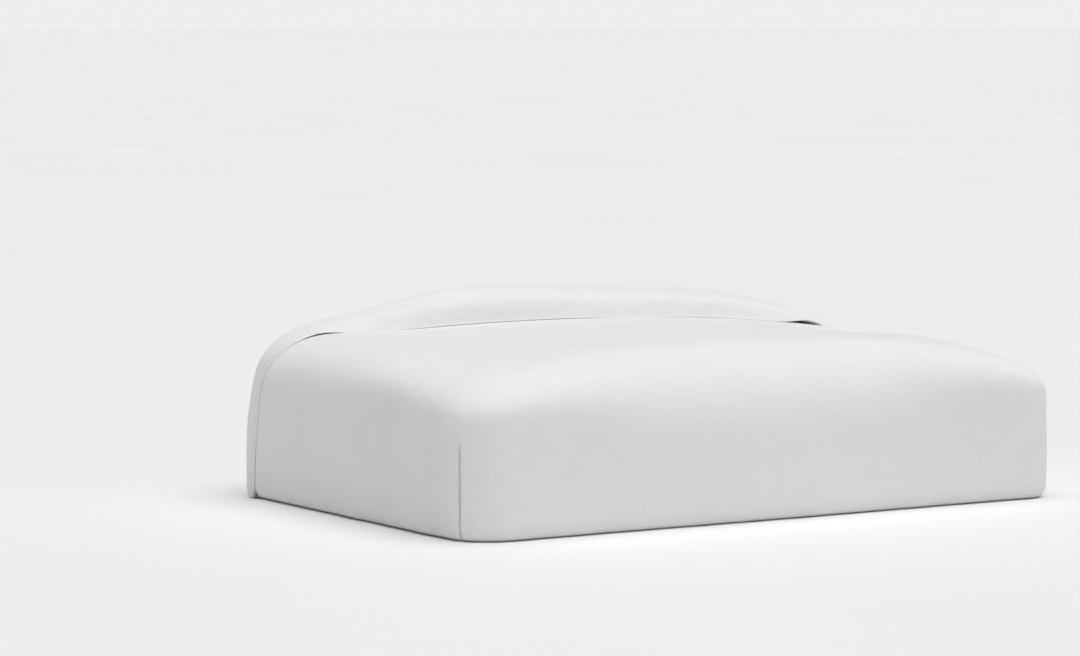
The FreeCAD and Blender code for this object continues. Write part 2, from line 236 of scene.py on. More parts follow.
def corner_line(side, angle):
    """Angle 0 faces the side, and a quarter turn faces the foot."""
    return rim_line(
        lambda share: side_x(side, share) + side * CORNER_RADIUS[side] * share * (math.cos(angle) - 1),
        lambda share: foot_y(share) + CORNER_RADIUS[side] * share * (1 - math.sin(angle)),
        *FALL_CORNER[side],
    )


def foot_line(across):
    """Across goes from 0 at the left corner to 1 at the right one."""
    near = LEFT if across < 0.5 else RIGHT
    return rim_line(
        lambda share: mix(
            side_x(LEFT, share) + CORNER_RADIUS[LEFT] * share,
            side_x(RIGHT, share) - CORNER_RADIUS[RIGHT] * share,
            across,
        ),
        foot_y,
        *between(FALL_CORNER[near], FALL_FOOT, min(across, 1 - across) / 0.35),
    )


columns_x = np.linspace(side_x(LEFT, 0), side_x(RIGHT, 0), TOP_COLUMNS + 1)
rows_y = np.linspace(foot_y(0), FOLD_START, TOP_ROWS + 1)
along_side = (FOLD_START - rows_y) / (FOLD_START - rows_y[0])
across_foot = (columns_x - columns_x[0]) / (columns_x[-1] - columns_x[0])


def corner_angles(side):
    """Angles of a corner's mesh lines, close together beside its slit."""
    angle_of = [line / CORNER_RADIUS[side] for line in SLIT_LINES]
    slit = [SLIT_ANGLE + sign * angle for angle in angle_of for sign in (-1, 1)]
    even = np.linspace(0, math.pi / 2, CORNER_STEPS + 1)
    return np.array(sorted(slit + [a for a in even if abs(a - SLIT_ANGLE) > 1.3 * angle_of[-1]]))


rim_parts = [
    (side_line, RIGHT, along_side[::-1]),
    (corner_line, RIGHT, corner_angles(RIGHT)),
    (foot_line, None, across_foot[::-1]),
    (corner_line, LEFT, corner_angles(LEFT)[::-1]),
    (side_line, LEFT, along_side),
]
rim_lines, rim_slit = [], []  # the slit's distance round the corner, or far away elsewhere
for part, side, places in rim_parts:
    for place in places[1 if rim_lines else 0 :]:
        rim_lines.append(part(place) if side is None else part(side, place))
        at_corner = part is corner_line
        rim_slit.append((place - SLIT_ANGLE) * CORNER_RADIUS[side] if at_corner else 1.0)
rim = np.array(rim_lines)
rim_slit = np.array(rim_slit)

grid_x, grid_y = np.meshgrid(columns_x, rows_y, indexing="ij")
top = np.stack([grid_x, grid_y, crown(grid_x, grid_y)], axis=2)

# ---- the fold: the sheet turns over at the head end and comes back as the cuff ----

section = np.concatenate([rim[-1][::-1][:-1], top[:, -1], rim[0][1:]])[:, [0, 2]]
steps = np.linalg.norm(np.diff(section, axis=0), axis=1)
arc = np.concatenate([[0], np.cumsum(steps)])
arc -= np.interp(0, section[:, 0], arc)  # 0 over the middle of the bed, negative to its left
tangent = np.gradient(section, arc, axis=0)
tangent /= np.linalg.norm(tangent, axis=1)[:, None]
section_normal = np.stack([-tangent[:, 1], tangent[:, 0]], axis=1)

# Each list runs along the section, from the left hem over the bed to the right hem, in pairs of
# (place, value). The values are the height of the cuff's upper face, the place of its hem along the
# bed, how far the lower layer sinks, and the thickness of the lower layer and of the cuff.
CUFF_TOP = [
    (-1.10, 0.0165), (-0.90, 0.0120), (-0.80, -0.003), (-0.72, 0.010), (-0.60, 0.037), (-0.44, 0.066),
    (-0.26, 0.090), (-0.11, 0.089), (0.04, 0.083), (0.20, 0.080), (0.34, 0.077),
    (0.50, 0.073), (0.62, 0.064), (0.72, 0.053), (0.80, 0.042), (0.90, 0.018), (1.10, 0.0120),
]
CUFF_HEM = [
    (-1.10, 0.462), (-0.98, 0.452), (-0.86, 0.432), (-0.74, 0.400), (-0.60, 0.374),
    (-0.40, 0.350), (0.00, 0.322), (0.35, 0.300), (0.65, 0.272), (0.78, 0.276),
    (0.90, 0.340), (1.10, 0.452),
]
LOWER_INSET = [
    (-1.10, 0.0135), (-0.90, 0.0180), (-0.79, 0.0275), (-0.70, 0.019), (-0.60, 0.008), (0.00, 0.002),
    (0.62, 0.002), (0.85, 0.018), (1.10, 0.020),
]
LOWER_LOFT = [
    (-1.10, 0.017), (-0.80, 0.0145), (-0.60, 0.024), (0.00, 0.026),
    (0.62, 0.025), (0.85, 0.018), (1.10, 0.017),
]
CUFF_LOFT = [
    (-1.10, 0.019), (-0.80, 0.016), (-0.60, 0.026), (-0.30, 0.032),
    (0.50, 0.032), (0.72, 0.028), (0.90, 0.020), (1.10, 0.020),
]
GAP_LIFT = 0.0002  # least gap drawn between the cuff and the lower layer
FOLD_CLEAR = 0.003  # from the foremost line of the fold to the head end
FOLD_REACH = 0.045  # most that the fold bulges towards the head end
TUCK = 0.042  # how soon the sheet sinks under the cuff's hem
LIFT_LEFT, LIFT_RIGHT = 0.004, 0.010  # how far the cuff's hem stands open over each shoulder

cuff_top = through(CUFF_TOP, arc)
cuff_hem = through(CUFF_HEM, arc)
inset = through(LOWER_INSET, arc)
lower_loft = through(LOWER_LOFT, arc)
cuff_loft = through(CUFF_LOFT, arc)
lift = LIFT_LEFT * mound(arc, -0.645, 0.036) + LIFT_RIGHT * mound(arc, 0.67, 0.050)
hem_flush = smooth(-arc, 0.70, 0.80)  # the cuff lies flat down the left side


def fold_line(station):
    """Places (y, height over the section), and the half-lofts above and below, along one station.

    Returns an array with a row per step: y, height, half-loft on the top panel's side, and half-loft
    on the underside's.
    """
    low = -inset[station]
    rest = low + lower_loft[station] / 2 + GAP_LIFT + cuff_loft[station] / 2  # lying on the lower layer
    high = max(cuff_top[station] - cuff_loft[station] / 2, rest)
    half = (high - low) / 2
    reach = min(FOLD_REACH, 1.25 * half)
    turn_y = HEAD_Y - FOLD_CLEAR - reach - mix(lower_loft[station], cuff_loft[station], 0.5) / 2
    hem_y = cuff_hem[station]

    tuck_y = min(hem_y + TUCK, mix(hem_y, turn_y, 0.7))

    def tucked(y):
        """How far the sheet has sunk under the cuff."""
        return smooth(y, hem_y, tuck_y)

    lower_y = np.concatenate(
        [
            np.linspace(FOLD_START, hem_y, FRONT_STEPS, endpoint=False),
            np.linspace(hem_y, tuck_y, TUCK_STEPS, endpoint=False),
            np.linspace(tuck_y, turn_y, BACK_STEPS, endpoint=False),
        ]
    )
    tuck = tucked(lower_y)
    lower = np.stack(
        [
            lower_y,
            low * tuck,
            mix(LOFT, lower_loft[station], tuck) / 2,
            mix(LOFT, lower_loft[station], tuck) / 2,
        ],
        axis=1,
    )
    angle = np.linspace(0, math.pi, TURN_STEPS + 1)
    turn_loft = mix(lower_loft[station], cuff_loft[station], smooth(angle, 0, math.pi))
    turn = np.stack(
        [
            turn_y + reach * np.sin(angle),
            (low + high) / 2 - half * np.cos(angle),
            turn_loft / 2,
            turn_loft / 2,
        ],
        axis=1,
    )
    length = turn_y - hem_y
    flush = hem_flush[station]
    hem_width = min(mix(CUFF_ROUND, 2 * CUFF_ROUND, flush), mix(0.6, 0.9, flush) * length)
    away = np.concatenate(
        [
            mix(length, hem_width, np.linspace(0, 1, CUFF_STEPS + 1))[1:],
            hem_width * (1 - np.sin(np.linspace(0, math.pi / 2, CUFF_HEM_STEPS + 1)[1:])),
        ]
    )
    under = tucked(hem_y + away)
    under = mix(LOFT, lower_loft[station], under) / 2 - inset[station] * under
    open_by = GAP_LIFT + lift[station] * smooth(-away, -0.5 * length, 0)
    base = under + open_by + cuff_loft[station] / 2
    rise = np.sin(math.pi / 2 * away / length) ** 1.15
    share = np.clip(away / hem_width, 0, 1)
    taper = mix(np.sin(math.pi / 2 * share), smooth(share), flush)
    loft = mix(CUFF_SEAM, cuff_loft[station], taper)
    cuff = np.stack(
        [
            hem_y + away,
            np.maximum(mix(base, high, rise), base),
            np.full(len(away), cuff_loft[station] / 2),
            loft - cuff_loft[station] / 2,
        ],
        axis=1,
    )
    return np.concatenate([lower, turn, cuff])


stations = np.array([fold_line(station) for station in range(len(section))])
fold_plan = section[:, None, :] + section_normal[:, None, :] * stations[:, :, 1:2]
fold = np.stack([fold_plan[:, :, 0], stations[:, :, 0], fold_plan[:, :, 1]], axis=2)

# ---- loft: how far the two panels stand from the sheet ----


def hem_taper(z):
    """Share of the loft that is left near a hem on the floor plane."""
    return np.sqrt(1 - (1 - np.clip((z - SEAM / 2) / HEM_ROUND, 0, 1)) ** 2)


def flat_inside(z, loft):
    """Half-lofts of a drop whose inner face stays flat to its hem."""
    thick = mix(SEAM, loft, hem_taper(z))
    return thick - loft / 2, loft / 2


PUFF = 0.0012


def puff(points, seed):
    """Soft unevenness of the filling, under 2 mm."""
    x, y, z = np.moveaxis(points, -1, 0)
    return PUFF * (
        np.sin(9.1 * x + 3.3 * y + seed) * np.cos(8.3 * y - 4.2 * z + 2 * seed)
        + 0.6 * np.sin(17.0 * x - 11.0 * y + 13.0 * z + 3 * seed)
    )


# Short creases along the cuff's crest, seen in plan: from (x, y), to (x, y), depth. The end points
# were found by casting the fitted camera's rays onto this mesh, and rounded.
CREASES = [
    ((-0.48, 0.45), (-0.43, 0.40), 0.0022),
    ((-0.37, 0.375), (-0.32, 0.36), 0.0020),
    ((-0.335, 0.39), (-0.27, 0.375), 0.0026),
    ((-0.22, 0.38), (-0.16, 0.37), 0.0020),
    ((0.285, 0.355), (0.325, 0.355), 0.0018),
    ((0.345, 0.34), (0.42, 0.34), 0.0026),
    ((0.46, 0.34), (0.505, 0.355), 0.0020),
]
CREASE_WIDTH = 0.006


def creased(points):
    """How far the creases sink into the upper face of the cuff."""
    plan = points[:, :2]
    sunk = np.zeros(len(plan))
    for start, end, depth in CREASES:
        start, run = np.array(start), np.array(end) - np.array(start)
        along = np.clip((plan - start) @ run / (run @ run), 0, 1)
        away = np.linalg.norm(plan - start - along[:, None] * run, axis=1)
        fade = 1 - (2 * along - 1) ** 2  # towards both ends
        sunk += depth * mound(away, 0, CREASE_WIDTH) * fade
        # the cloth piles up a little beside a crease
        sunk -= 0.35 * depth * mound(away, 2 * CREASE_WIDTH, CREASE_WIDTH) * fade
    return sunk * smooth(points[:, 2], CROWN_Z, CROWN_Z + 0.02)


DRAPE = 0.0016  # of the longer wave in the slack


def drape(points):
    """Slack of the hanging cloth, growing towards the hem."""
    x, y, z = points.T
    low = smooth(-z, -0.26, -0.05)
    round_bed = x * np.sign(y + 0.2) + y
    return DRAPE * low * (np.sin(23 * y + 7 * x + 3 * z) + 0.6 * np.sin(41 * round_bed + 9 * z + 1.3))


def steady(z):
    """0 low on the drops, where the zip needs a flat face, and 1 higher up."""
    return smooth(z, 0.09, 0.16)


def top_loft():
    return np.full(top.shape[:2], LOFT / 2), np.full(top.shape[:2], LOFT / 2)


def rim_loft():
    out, into = flat_inside(rim[:, :, 2], LOFT)
    low_on_corner = smooth(rim[:, :, 2], SLIT_TOP, SLIT_TOP - 0.03)
    slit = mound(rim_slit, 0, SLIT_WIDTH)[:, None] * low_on_corner
    out = out - np.minimum(SLIT_DEPTH, 0.6 * (out + into)) * slit
    return out, np.broadcast_to(into, out.shape)


def fold_loft():
    into_flat = hem_taper(fold[:, :, 2])
    low, high = stations[:, :, 2], stations[:, :, 3]
    cuff_share = smooth(np.arange(fold.shape[1]), LOWER_STEPS, LOWER_STEPS + TURN_STEPS)[None, :]
    full = low + high
    left = np.maximum(into_flat, 0.12)
    tapered = mix(SEAM, full, into_flat)
    out = mix(tapered - high, low * left, cuff_share)
    into = mix(high, high * left, cuff_share)
    return out, into


def weld(patches):
    """One sheet from patches of (points, out, into): vertices, half-lofts and quads, joined at edges."""
    points = np.concatenate([p.reshape(-1, 3) for p, _, _ in patches])
    out = np.concatenate([np.asarray(o).ravel() for _, o, _ in patches])
    into = np.concatenate([np.asarray(i).ravel() for _, _, i in patches])
    _, keep, place = np.unique(np.round(points, 5), axis=0, return_index=True, return_inverse=True)
    place = place.ravel()
    faces, start = [], 0
    for p, _, _ in patches:
        rows, cols = p.shape[:2]
        index = start + np.arange(rows * cols).reshape(rows, cols)
        quads = np.stack([index[:-1, :-1], index[1:, :-1], index[1:, 1:], index[:-1, 1:]], axis=2)
        for quad in place[quads.reshape(-1, 4)]:
            face = list(dict.fromkeys(quad.tolist()))
            if len(face) > 2:
                faces.append(face)
        start += rows * cols
    return points[keep], out[keep], into[keep], faces


def point_normals(points, faces):
    normals = np.zeros_like(points)
    for size in (3, 4):
        some = np.array([face for face in faces if len(face) == size])
        if not len(some):
            continue
        a, b, c = points[some[:, 0]], points[some[:, 1]], points[some[:, 2]]
        d = points[some[:, -1]]
        area = np.cross(c - a, d - b) if size == 4 else np.cross(b - a, c - a)
        for corner in range(size):
            np.add.at(normals, some[:, corner], area)
    return normals / np.linalg.norm(normals, axis=1)[:, None]


def open_edges(faces):
    """Edges used once, each in the direction of its face."""
    seen = {}
    for face in faces:
        for a, b in zip(face, face[1:] + face[:1]):
            seen[(a, b)] = True
    return [edge for edge in seen if edge[::-1] not in seen]


def quilt_mesh(name, points, out, into, faces):
    """A closed mesh whose two faces stand off a sheet by out and into."""
    normals = point_normals(points, faces)
    count = len(points)
    vertices = np.concatenate([points + normals * out[:, None], points - normals * into[:, None]])
    vertices[:, 2] = np.maximum(vertices[:, 2], HEM_CLEAR)
    outer = [list(face) for face in faces]
    inner = [[v + count for v in reversed(face)] for face in faces]
    edge = [[b, a, a + count, b + count] for a, b in open_edges(faces)]
    return add_mesh(name, vertices, outer + inner + edge)


def add_mesh(name, vertices, faces):
    mesh = bpy.data.meshes.new(name)
    mesh.from_pydata([tuple(v) for v in vertices], [], faces)
    mesh.shade_smooth()
    piece = bpy.data.objects.new(name, mesh)
    bpy.context.scene.collection.objects.link(piece)
    return piece


made = []  # every piece made here, with its slot


def finish_piece(piece, body, slot, *replaced):
    made.append((piece, slot))
    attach(piece, body)
    if replaced:
        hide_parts(*replaced)


def nodes_named(*starts):
    return [name for name in frame["nodes"] if name.startswith(starts)]


# ---- the cover ----

sheet = [(top, *top_loft()), (rim, *rim_loft()), (fold, *fold_loft())]
sheet_points, sheet_out, sheet_into, sheet_faces = weld(sheet)
uneven = puff(sheet_points, 0.7) * steady(sheet_points[:, 2])
ahead_of_fold = smooth(-sheet_points[:, 1], -FOLD_START, -0.05)
crest_puff = puff(sheet_points, 2.1) * smooth(sheet_points[:, 2], CROWN_Z, CROWN_Z + 0.02)
cover = quilt_mesh(
    "duvet_cover",
    sheet_points,
    sheet_out + (uneven + drape(sheet_points)) * ahead_of_fold,
    sheet_into - creased(sheet_points) + crest_puff,
    sheet_faces,
)
finish_piece(cover, "duvet", "cover_cotton", *nodes_named("cover_"))

# ---- the insert, a little inside the cover, pinched along its baffles ----

COVER_ROOM = 0.0045  # between the cover's panels and the insert's shells
PINCH_DEPTH = 0.0022
PINCH_WIDTH = 0.012
BINDING = (0.0022, 0.0016)  # half-sizes of the binding's section
HEM_TRIM = HEM_STEPS + 2


def inside(patch, rows, cols):
    """The part of a patch that the insert fills, clear of the hems, and its half-lofts."""
    points, out, into = (array[rows, cols] for array in patch)
    middle = (out - into) / 2
    half = np.maximum((out + into) / 2 - COVER_ROOM, SEAM)
    return points, middle + half, half - middle


every = slice(None)
above_hem = slice(0, -HEM_TRIM)
insert_patches = [
    inside(sheet[0], every, every),
    inside(sheet[1], every, above_hem),
    inside(sheet[2], slice(HEM_TRIM, -HEM_TRIM), slice(0, -CUFF_HEM_STEPS - 1)),
]
insert_points, insert_out, insert_into, insert_faces = weld(insert_patches)
pinch = np.zeros(len(insert_points))
for baffle in nodes_named("baffle_lengthwise"):
    low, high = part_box(baffle)
    pinch += mound(insert_points[:, 0], (low.x + high.x) / 2, PINCH_WIDTH)
for baffle in nodes_named("baffle_crosswise"):
    low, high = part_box(baffle)
    pinch += mound(insert_points[:, 1], (low.y + high.y) / 2, PINCH_WIDTH)
pinch = PINCH_DEPTH * np.clip(pinch, 0, 1)
insert = quilt_mesh(
    "duvet_insert", insert_points, insert_out - pinch, insert_into - pinch, insert_faces
)
inner_nodes = nodes_named("insert_top", "insert_bottom", "baffle_", "fill_")
finish_piece(insert, "duvet", "shell_cotton", *inner_nodes)


def sweep_mesh(path, section, closed):
    """Vertices and faces of a section carried along a path without twisting.

    The section is a list of (across, up) pairs, and up starts as near to +Z as the path allows.
    """
    path = np.asarray(path, float)
    ahead = np.roll(path, -1, axis=0) - np.roll(path, 1, axis=0)
    if not closed:
        ahead[0], ahead[-1] = path[1] - path[0], path[-1] - path[-2]
    ahead /= np.linalg.norm(ahead, axis=1)[:, None]
    up = np.array([0.0, 0.0, 1.0]) if abs(ahead[0][2]) < 0.9 else np.array([1.0, 0.0, 0.0])
    section = np.asarray(section, float)
    vertices = []
    for point, direction in zip(path, ahead):
        up = up - direction * np.dot(up, direction)
        up /= np.linalg.norm(up)
        across = np.cross(direction, up)
        vertices.append(point + section[:, :1] * across + section[:, 1:] * up)
    sides, count = len(section), len(path)
    faces = []
    for step in range(count if closed else count - 1):
        here, there = step * sides, (step + 1) % count * sides
        for side in range(sides):
            after = (side + 1) % sides
            faces.append([here + side, there + side, there + after, here + after])
    if not closed:
        faces.append(list(range(sides)))
        faces.append(list(reversed(range((count - 1) * sides, count * sides))))
    return np.concatenate(vertices), faces


def oval(half_across, half_up, sides):
    angle = np.linspace(0, 2 * math.pi, sides, endpoint=False)
    return np.stack([half_across * np.cos(angle), half_up * np.sin(angle)], axis=1)


def gather(parts):
    """Several (vertices, faces) as one."""
    vertices, faces, start = [], [], 0
    for some, their_faces in parts:
        vertices.append(some)
        faces += [[v + start for v in face] for face in their_faces]
        start += len(some)
    return np.concatenate(vertices), faces


def edge_loop(faces):
    """The open edges of a sheet as one ring of vertices."""
    after = dict(open_edges(faces))
    first = next(iter(after))
    ring, here = [first], after[first]
    while here != first:
        ring.append(here)
        here = after[here]
    return ring


binding_path = insert_points[edge_loop(insert_faces)]
binding = add_mesh("insert_binding", *sweep_mesh(binding_path, oval(*BINDING, 8), closed=True))
finish_piece(binding, "duvet", "binding_tape", *nodes_named("insert_binding"))

# ---- corner ties: a loop of tape on the cover through one on the insert ----

TIE_Y = 0.320
TIE_RADIUS = 0.0028
TIE_TAPE = (0.0004, 0.0007)
COVER_TIE_Z, INSERT_TIE_Z = 0.0066, 0.0096
LOOP_STEPS = 28


def tie_loop(centre, across):
    """A ring of tape whose plane holds the Z axis and the direction across."""
    angle = np.linspace(0, 2 * math.pi, LOOP_STEPS, endpoint=False)
    path = np.array(centre) + TIE_RADIUS * (
        np.outer(np.cos(angle), across) + np.outer(np.sin(angle), (0, 0, 1))
    )
    return sweep_mesh(path, oval(*TIE_TAPE, 8), closed=True)


def tie_spots():
    for side in (LEFT, RIGHT):
        in_by = CORNER_RADIUS[side] * (1 - math.sqrt(0.5))
        yield side * (SIDE[side] - in_by), foot_y(1) + in_by
        yield side * SIDE[side], TIE_Y


for name, node, height, across in (
    ("cover_tie_loops", "corner_ties", COVER_TIE_Z, (0, 1, 0)),
    ("insert_tie_loops", "insert_rings", INSERT_TIE_Z, (1, 0, 0)),
):
    loops = add_mesh(name, *gather(tie_loop((x, y, height), across) for x, y in tie_spots()))
    finish_piece(loops, "duvet", "binding_tape", node)

# ---- the zip along the foot, inside: plackets, tapes, coils and stitches ----

STRIP_STEPS = 190
COIL_PITCH = 0.0020
COIL_WIRE = 0.0003
COIL_STEPS = 8  # path points in a turn
STITCH_PITCH = 0.0032
STITCH_LENGTH = 0.0022
STITCH_RADIUS = 0.0003


def rounded(half_thick, half_wide, radius, steps=3):
    """The outline of a strip, thick across and wide up, with round corners."""
    turn = np.linspace(0, math.pi / 2, steps + 1)
    outline = []
    for quarter, (x, y) in enumerate(((1, 1), (-1, 1), (-1, -1), (1, -1))):
        angle = turn + quarter * math.pi / 2
        outline.append(
            np.stack(
                [
                    x * (half_thick - radius) + radius * np.cos(angle),
                    y * (half_wide - radius) + radius * np.sin(angle),
                ],
                axis=1,
            )
        )
    return np.concatenate(outline)


def strip_piece(name, node, radius):
    """A strip of cloth in a CAD strip's place, its edges rounded and a little uneven."""
    low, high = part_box(node)
    middle, half = (low + high) / 2, (high - low) / 2
    x = np.linspace(low.x, high.x, STRIP_STEPS + 1)
    path = np.stack([x, np.full(len(x), middle.y), np.full(len(x), middle.z)], axis=1)
    outline = rounded(half.y, half.z, radius)
    vertices, faces = sweep_mesh(path, outline, closed=False)
    share = (vertices[:, 2] - middle.z) / half.z
    vertices[:, 2] += 0.00025 * share * np.sin(61 * vertices[:, 0] + 2 * share)
    return add_mesh(name, vertices, faces)


def coil_piece(name, node):
    """One side's coil: a wire wound along the zip."""
    low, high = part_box(node)
    middle, half = (low + high) / 2, (high - low) / 2
    turns = int((high.x - low.x) / COIL_PITCH)
    angle = np.linspace(0, 2 * math.pi * turns, turns * COIL_STEPS + 1)
    path = np.stack(
        [
            np.linspace(low.x + COIL_WIRE, high.x - COIL_WIRE, len(angle)),
            middle.y + (half.y - COIL_WIRE) * np.cos(angle),
            middle.z + (half.z - COIL_WIRE) * np.sin(angle),
        ],
        axis=1,
    )
    return add_mesh(name, *sweep_mesh(path, oval(COIL_WIRE, COIL_WIRE, 5), closed=False))


STITCH_SIDES = 6


def stitch(x, y, z):
    """One stitch along X: a short thread with rounded ends, half sunk in the cloth."""
    share = np.array([0, 0.12, 0.5, 0.88, 1])
    thick = np.array([0.35, 0.85, 1, 0.85, 0.35])
    angle = np.linspace(0, 2 * math.pi, STITCH_SIDES, endpoint=False)
    rings = [
        np.stack(
            [
                np.full(STITCH_SIDES, x + STITCH_LENGTH * (along - 0.5)),
                y + STITCH_RADIUS * size * np.cos(angle),
                z + STITCH_RADIUS * size * np.sin(angle),
            ],
            axis=1,
        )
        for along, size in zip(share, thick)
    ]
    last = (len(share) - 1) * STITCH_SIDES
    faces = [list(reversed(range(STITCH_SIDES))), list(range(last, last + STITCH_SIDES))]
    for here in range(0, last, STITCH_SIDES):
        there = here + STITCH_SIDES
        for side in range(STITCH_SIDES):
            after = (side + 1) % STITCH_SIDES
            faces.append([here + side, here + after, there + after, there + side])
    return np.concatenate(rings), faces


def stitch_row(low_x, high_x, y, z):
    count = int((high_x - low_x) / STITCH_PITCH)
    first = (low_x + high_x - (count - 1) * STITCH_PITCH) / 2
    return [stitch(first + number * STITCH_PITCH, y, z) for number in range(count)]


rows = []
for half_name in ("upper", "lower"):
    placket = strip_piece(f"placket_{half_name}", f"zip_placket_{half_name}", 0.0011)
    finish_piece(placket, "duvet", "cover_cotton", f"zip_placket_{half_name}")
    tape = strip_piece(f"tape_{half_name}", f"zip_tape_{half_name}", 0.00028)
    finish_piece(tape, "duvet", "zip_tape", f"zip_tape_{half_name}")
    coil = coil_piece(f"coil_{half_name}", f"zip_coil_{half_name}")
    finish_piece(coil, "duvet", "zip_coil", f"zip_coil_{half_name}")
    placket_low, placket_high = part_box(f"zip_placket_{half_name}")
    tape_low, tape_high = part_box(f"zip_tape_{half_name}")
    away = 1 if half_name == "upper" else -1
    placket_edge = placket_high.z if away > 0 else placket_low.z
    tape_edge = tape_high.z if away > 0 else tape_low.z
    ends = (tape_low.x + 0.004, tape_high.x - 0.004)
    rows += stitch_row(*ends, tape_high.y, tape_edge - away * 0.0025)
    rows += stitch_row(*ends, tape_high.y, tape_edge - away * 0.0095)
    rows += stitch_row(*ends, placket_high.y, placket_edge - away * 0.0018)
stitches = add_mesh("zip_stitches", *gather(rows))
finish_piece(stitches, "duvet", "cover_cotton")

# ---- the care label, a ribbon folded over and sewn into the left hem ----

LABEL_CLOTH = 0.0004


def label_piece():
    low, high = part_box("care_label")
    wall = -(SIDE[LEFT] - LOFT / 2)  # the drop's inner face
    tall = high.z - low.z
    up = np.linspace(0, 1, 25)
    lean = 0.0022 * up**1.6
    near, far = 0.0005 + lean, 0.0014 + 1.35 * lean
    turn = np.linspace(-math.pi / 2, math.pi / 2, 9)[1:-1]
    spread = (far[-1] - near[-1]) / 2
    x = np.concatenate([near, (near[-1] + far[-1]) / 2 + spread * np.sin(turn), far[::-1]])
    z = np.concatenate([low.z + up * tall, high.z + spread * np.cos(turn), (low.z + up * tall)[::-1]])
    along = np.gradient(np.stack([x, z], axis=1), axis=0)
    along /= np.linalg.norm(along, axis=1)[:, None]
    skin = np.stack([-along[:, 1], along[:, 0]], axis=1) * LABEL_CLOTH / 2
    outline = np.concatenate([np.stack([x, z], 1) + skin, (np.stack([x, z], 1) - skin)[::-1]])
    across = np.linspace(low.y, high.y, 13)
    count = len(outline)
    vertices = [(wall + px, y, pz) for y in across for px, pz in outline]
    faces = []
    for step in range(len(across) - 1):
        for index in range(count):
            after = (index + 1) % count
            here, there = step * count, (step + 1) * count
            faces.append([here + index, here + after, there + after, there + index])
    half = count // 2
    for start, flip in ((0, False), ((len(across) - 1) * count, True)):
        for index in range(half - 1):
            near_side, far_side = start + index, start + count - 1 - index
            face = [near_side, far_side, far_side - 1, near_side + 1]
            faces.append(face[::-1] if flip else face)
    return add_mesh("satin_label", vertices, faces)


finish_piece(label_piece(), "duvet", "label_satin", "care_label")

# ---- materials ----

THREAD_PITCH = 0.00055


class Shader:
    """A Principled material and short ways to add procedural detail to it."""

    def __init__(self, name, roughness, sheen=0.0, metallic=0.0):
        self.material = bpy.data.materials.new(name)
        self.material.use_nodes = True
        self.tree = self.material.node_tree
        self.shader = self.tree.nodes["Principled BSDF"]
        self.shader.inputs["Roughness"].default_value = roughness
        self.shader.inputs["Sheen Weight"].default_value = sheen
        self.shader.inputs["Metallic"].default_value = metallic
        self.place = self.add("ShaderNodeTexCoord").outputs["Object"]
        self.normal = None

    def add(self, kind, **settings):
        node = self.tree.nodes.new(kind)
        for key, value in settings.items():
            setattr(node, key, value)
        return node

    def link(self, start, end):
        self.tree.links.new(start, end)

    def noise(self, scale, detail=3.0, stretch=(1, 1, 1)):
        mapping = self.add("ShaderNodeMapping")
        mapping.inputs["Scale"].default_value = stretch
        self.link(self.place, mapping.inputs["Vector"])
        texture = self.add("ShaderNodeTexNoise")
        texture.inputs["Scale"].default_value = scale
        texture.inputs["Detail"].default_value = detail
        self.link(mapping.outputs["Vector"], texture.inputs["Vector"])
        return texture.outputs["Fac"]

    def average(self, *sources):
        total = sources[0]
        for source in sources[1:]:
            node = self.add("ShaderNodeMath", operation="ADD")
            self.link(total, node.inputs[0])
            self.link(source, node.inputs[1])
            total = node.outputs[0]
        node = self.add("ShaderNodeMath", operation="DIVIDE")
        node.inputs[1].default_value = len(sources)
        self.link(total, node.inputs[0])
        return node.outputs[0]

    def slub(self, scale, length=0.04):
        """Thick and thin threads: streaks along the axes, wherever a face lies."""
        streaks = [(1, length, length), (length, 1, length), (length, length, 1)]
        return self.average(*[self.noise(scale, 2, stretch) for stretch in streaks])

    def threads(self, pitch):
        """Crossing threads: a grid of ridges on any face that lies along two axes."""
        scaled = self.add("ShaderNodeVectorMath", operation="SCALE")
        scaled.inputs["Scale"].default_value = 2 * math.pi / pitch
        waves = self.add("ShaderNodeVectorMath", operation="SINE")
        summed = self.add("ShaderNodeVectorMath", operation="DOT_PRODUCT")
        summed.inputs[1].default_value = (0.33, 0.33, 0.33)
        self.link(self.place, scaled.inputs[0])
        self.link(scaled.outputs[0], waves.inputs[0])
        self.link(waves.outputs[0], summed.inputs[0])
        return summed.outputs["Value"]

    def ribs(self, pitch, direction):
        """Ridges across one direction."""
        along = self.add("ShaderNodeVectorMath", operation="DOT_PRODUCT")
        along.inputs[1].default_value = [2 * math.pi / pitch * part for part in direction]
        wave = self.add("ShaderNodeMath", operation="SINE")
        self.link(self.place, along.inputs[0])
        self.link(along.outputs["Value"], wave.inputs[0])
        return wave.outputs[0]

    def bump(self, height, strength, depth):
        node = self.add("ShaderNodeBump")
        node.inputs["Strength"].default_value = strength
        node.inputs["Distance"].default_value = depth
        self.link(height, node.inputs["Height"])
        if self.normal:
            self.link(self.normal, node.inputs["Normal"])
        self.normal = node.outputs["Normal"]
        self.link(self.normal, self.shader.inputs["Normal"])

    def spread(self, source, low, high, socket, half_width=0.2):
        """Drives a socket from a source around 0.5: numbers or colours at its two ends."""
        ramp = self.add("ShaderNodeValToRGB")
        ramp.color_ramp.elements[0].position = 0.5 - half_width
        ramp.color_ramp.elements[1].position = 0.5 + half_width
        for element, value in zip(ramp.color_ramp.elements, (low, high)):
            element.color = (*value, 1) if isinstance(value, tuple) else (value, value, value, 1)
        self.link(source, ramp.inputs["Fac"])
        self.link(ramp.outputs["Color"], self.shader.inputs[socket])


